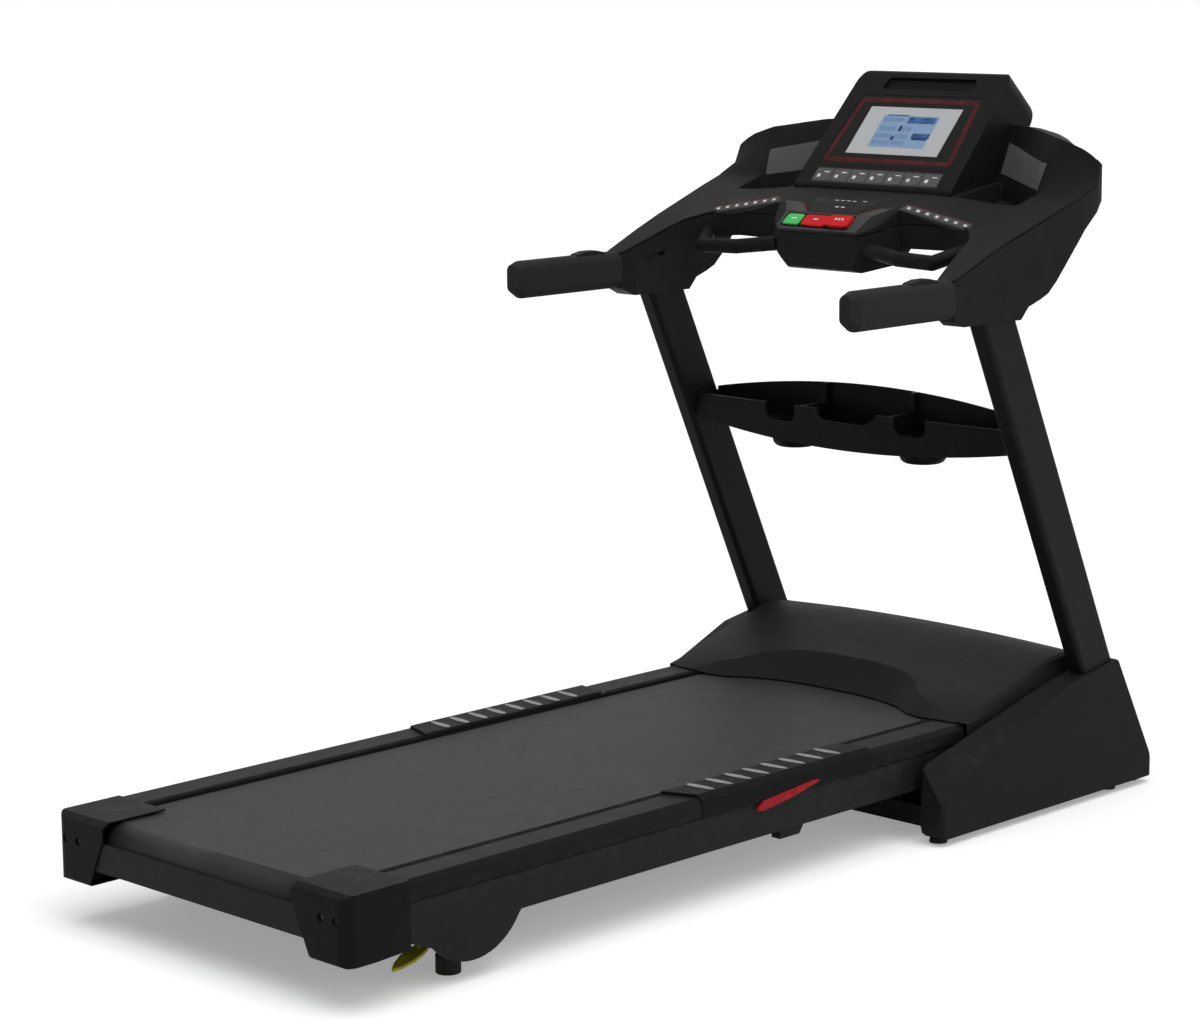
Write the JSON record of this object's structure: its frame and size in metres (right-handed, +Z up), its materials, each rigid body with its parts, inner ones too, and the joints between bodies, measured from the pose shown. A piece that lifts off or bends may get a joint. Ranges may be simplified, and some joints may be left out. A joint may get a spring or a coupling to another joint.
{
  "type": "treadmill",
  "caption": "Folding motor treadmill with a powered incline: a belt deck on steel rails, leaning uprights with side grips, a cup tray and a tilted console.",
  "frame": {"origin": "on the floor under the middle of the bounding box", "axes": "+X to the walker's right, +Y from the rear end caps to the motor and console end, +Z up"},
  "size_m": [0.88, 1.985, 1.3438],
  "materials": {
    "steel_black": "satin powder coat",
    "rubber": "matt",
    "plastic_black": "fine grain",
    "foam": "soft matt",
    "gloss_black": "gloss",
    "screen": "gloss",
    "plastic_dark": "fine grain",
    "red": "satin",
    "green": "satin",
    "white": "satin",
    "steel_bright": "ground steel",
    "motor_grey": "satin",
    "wood": "waxed fibreboard",
    "belt": "fine weave",
    "board_green": "satin",
    "yellow": "satin"
  },
  "bodies": {
    "base": {"base_rail_left": "steel_black", "base_rail_right": "steel_black", "base_rear_tube": "steel_black", "base_front_tube": "steel_black", "base_feet": "rubber", "base_cover_left": "plastic_black", "base_cover_right": "plastic_black", "upright_left": "steel_black", "upright_right": "steel_black", "accessory_tray": "plastic_black", "grip_left": "foam", "grip_right": "foam", "console_lower": "plastic_black", "console_upper": "plastic_black", "display_housing": "plastic_black", "display_back": "plastic_black", "display_bezel": "gloss_black", "lcd_screen": "screen", "pulse_bar_left": "plastic_dark", "pulse_bar_right": "plastic_dark", "safety_key": "red", "power_panel": "plastic_black"},
    "left_thumb_key": {"thumb_key_left": "plastic_dark"},
    "right_thumb_key": {"thumb_key_right": "plastic_dark"},
    "start_key": {"start_key": "green"},
    "stop_key": {"stop_key": "red"},
    "rocker_switch": {"rocker_switch": "plastic_black"},
    "breaker_button": {"breaker_button": "white"},
    "left_wheel": {"transport_wheel_left": "rubber"},
    "right_wheel": {"transport_wheel_right": "rubber"},
    "lift_frame": {"lift_frame": "steel_black"},
    "fold_cradle": {"fold_cradle": "steel_black"},
    "strut_cylinder": {"strut_cylinder": "plastic_black"},
    "strut_rod": {"strut_rod": "steel_bright"},
    "incline_motor": {"incline_motor": "motor_grey"},
    "incline_screw": {"incline_screw": "steel_bright"},
    "deck": {"deck_rail_left": "steel_black", "deck_rail_right": "steel_black", "rear_crossmember": "steel_black", "mid_crossmember": "steel_black", "motor_pan": "steel_black", "deck_board": "wood", "running_belt": "belt", "drive_motor": "motor_grey", "drive_belt": "rubber", "foot_rail_left": "plastic_dark", "foot_rail_right": "plastic_dark", "rail_inserts": "plastic_dark", "side_lenses": "red", "end_cap_left": "plastic_black", "end_cap_right": "plastic_black", "rear_feet": "rubber", "roller_bolts": "steel_bright", "motor_hood": "plastic_black", "motor_controller": "board_green", "deck_cushions": "rubber"},
    "front_roller": {"front_roller": "steel_bright"},
    "rear_roller": {"rear_roller": "steel_bright"},
    "motor_rotor": {"motor_rotor": "steel_bright"},
    "release_pedal": {"release_pedal": "yellow"}
  },
  "joints": [
    {"name": "incline", "type": "hinge", "parent": "base", "child": "lift_frame", "pos_m": [0, 0.4675, 0.1], "axis": [1, 0, 0], "range_deg": [0, 41]},
    {"name": "deck_level", "type": "hinge", "parent": "lift_frame", "child": "fold_cradle", "pos_m": [0, 0.7725, 0.105], "axis": [1, 0, 0], "range_deg": [-35.34, 2]},
    {"name": "fold", "type": "hinge", "parent": "fold_cradle", "child": "deck", "pos_m": [0, 0.7725, 0.105], "axis": [-1, 0, 0], "range_deg": [0, 55]},
    {"name": "strut_swing", "type": "hinge", "parent": "fold_cradle", "child": "strut_cylinder", "pos_m": [0, 0.5975, 0.068], "axis": [1, 0, 0], "range_deg": [-70.1, 3]},
    {"name": "strut_extend", "type": "slide", "parent": "strut_cylinder", "child": "strut_rod", "axis": [0, -0.9996, 0.0298], "range_m": [-0.004, 0.1259]},
    {"name": "incline_motor_swing", "type": "hinge", "parent": "base", "child": "incline_motor", "pos_m": [0, 0.6975, 0.036], "axis": [1, 0, 0], "range_deg": [-11.21, 0]},
    {"name": "screw_draw", "type": "slide", "parent": "incline_motor", "child": "incline_screw", "axis": [0, 0.9993, 0.0372], "range_m": [-0.002, 0.0446]},
    {"name": "front_roller_spin", "type": "hinge", "parent": "deck", "child": "front_roller", "pos_m": [0, 0.5825, 0.15325], "axis": [1, 0, 0], "continuous": true},
    {"name": "rear_roller_spin", "type": "hinge", "parent": "deck", "child": "rear_roller", "pos_m": [0, -0.9485, 0.15425], "axis": [1, 0, 0], "continuous": true},
    {"name": "motor_spin", "type": "hinge", "parent": "deck", "child": "motor_rotor", "pos_m": [0, 0.6895, 0.165], "axis": [1, 0, 0], "continuous": true},
    {"name": "left_wheel_spin", "type": "hinge", "parent": "base", "child": "left_wheel", "pos_m": [-0.403, 0.9515, 0.034], "axis": [1, 0, 0], "continuous": true},
    {"name": "right_wheel_spin", "type": "hinge", "parent": "base", "child": "right_wheel", "pos_m": [0.403, 0.9515, 0.034], "axis": [1, 0, 0], "continuous": true},
    {"name": "pedal_press", "type": "hinge", "parent": "deck", "child": "release_pedal", "pos_m": [0, -0.7585, 0.099], "axis": [1, 0, 0], "range_deg": [0, 12], "stiffness_Nm_per_rad": 2, "springref_deg": -5.73},
    {"name": "start_press", "type": "slide", "parent": "base", "child": "start_key", "axis": [0, 0.5878, -0.809], "range_m": [0, 0.0012], "stiffness_N_per_m": 400, "springref_m": -0.002},
    {"name": "stop_press", "type": "slide", "parent": "base", "child": "stop_key", "axis": [0, 0.5878, -0.809], "range_m": [0, 0.0012], "stiffness_N_per_m": 400, "springref_m": -0.002},
    {"name": "left_thumb_rock", "type": "hinge", "parent": "base", "child": "left_thumb_key", "pos_m": [-0.403, 0.3015, 1.005], "axis": [1, 0, 0], "range_deg": [-3, 3], "stiffness_Nm_per_rad": 0.5},
    {"name": "right_thumb_rock", "type": "hinge", "parent": "base", "child": "right_thumb_key", "pos_m": [0.403, 0.3015, 1.005], "axis": [1, 0, 0], "range_deg": [-3, 3], "stiffness_Nm_per_rad": 0.5},
    {"name": "switch_rock", "type": "hinge", "parent": "base", "child": "rocker_switch", "pos_m": [-0.286, 0.9355, 0.037], "axis": [1, 0, 0], "range_deg": [-12, 0]},
    {"name": "breaker_push", "type": "slide", "parent": "base", "child": "breaker_button", "axis": [0, -1, 0], "range_m": [0, 0.002], "stiffness_N_per_m": 800, "springref_m": -0.002}
  ],
  "couplings": [
    {"joint": "deck_level", "follows": "incline", "ratio": -0.81317},
    {"joint": "incline_motor_swing", "follows": "incline", "ratio": -0.21026},
    {"joint": "screw_draw", "follows": "incline", "m_per_rad": 0.059532},
    {"joint": "strut_swing", "follows": "fold", "ratio": -1.2205},
    {"joint": "strut_extend", "follows": "fold", "m_per_rad": 0.12699},
    {"joint": "rear_roller_spin", "follows": "front_roller_spin", "ratio": 1.0333},
    {"joint": "motor_spin", "follows": "front_roller_spin", "ratio": 2.1429}
  ]
}
